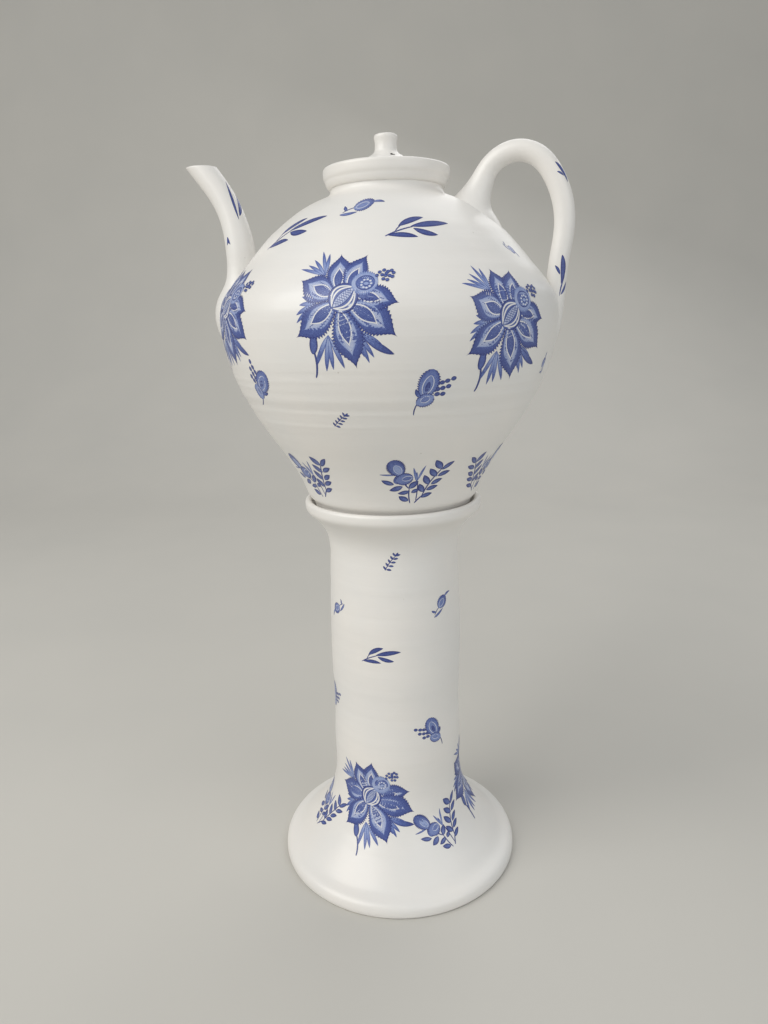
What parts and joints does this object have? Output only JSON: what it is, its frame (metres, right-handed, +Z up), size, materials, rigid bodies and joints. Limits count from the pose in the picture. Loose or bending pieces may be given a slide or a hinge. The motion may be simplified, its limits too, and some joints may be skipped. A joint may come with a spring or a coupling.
{
  "type": "teapot on pedestal",
  "caption": "Tall round lidded teapot with a curved spout and looped handle, standing loose in the cup of its own flared pedestal.",
  "frame": {"origin": "centre of the pedestal's underside, on the table", "axes": "+Z up, +X towards the handle, -X towards the spout, front faces -Y"},
  "size_m": [0.4284, 0.369, 0.852],
  "materials": {
    "glaze": "glossy warm white glaze with blue decoration"
  },
  "bodies": {
    "pedestal": {"pedestal_foot": "glaze", "pedestal_column_lower": "glaze", "pedestal_column_upper": "glaze", "pedestal_cup": "glaze"},
    "teapot": {"body_lower": "glaze", "body_upper": "glaze", "neck_collar": "glaze", "spout": "glaze", "handle": "glaze"},
    "lid": {"lid": "glaze", "lid_flange": "glaze", "lid_knob": "glaze"}
  },
  "joints": [
    {"name": "teapot_lift", "type": "slide", "parent": "pedestal", "child": "teapot", "axis": [0, 0, 1], "range_m": [0, 0.12]},
    {"name": "lid_lift", "type": "slide", "parent": "teapot", "child": "lid", "axis": [0, 0, 1], "range_m": [0, 0.08]}
  ]
}
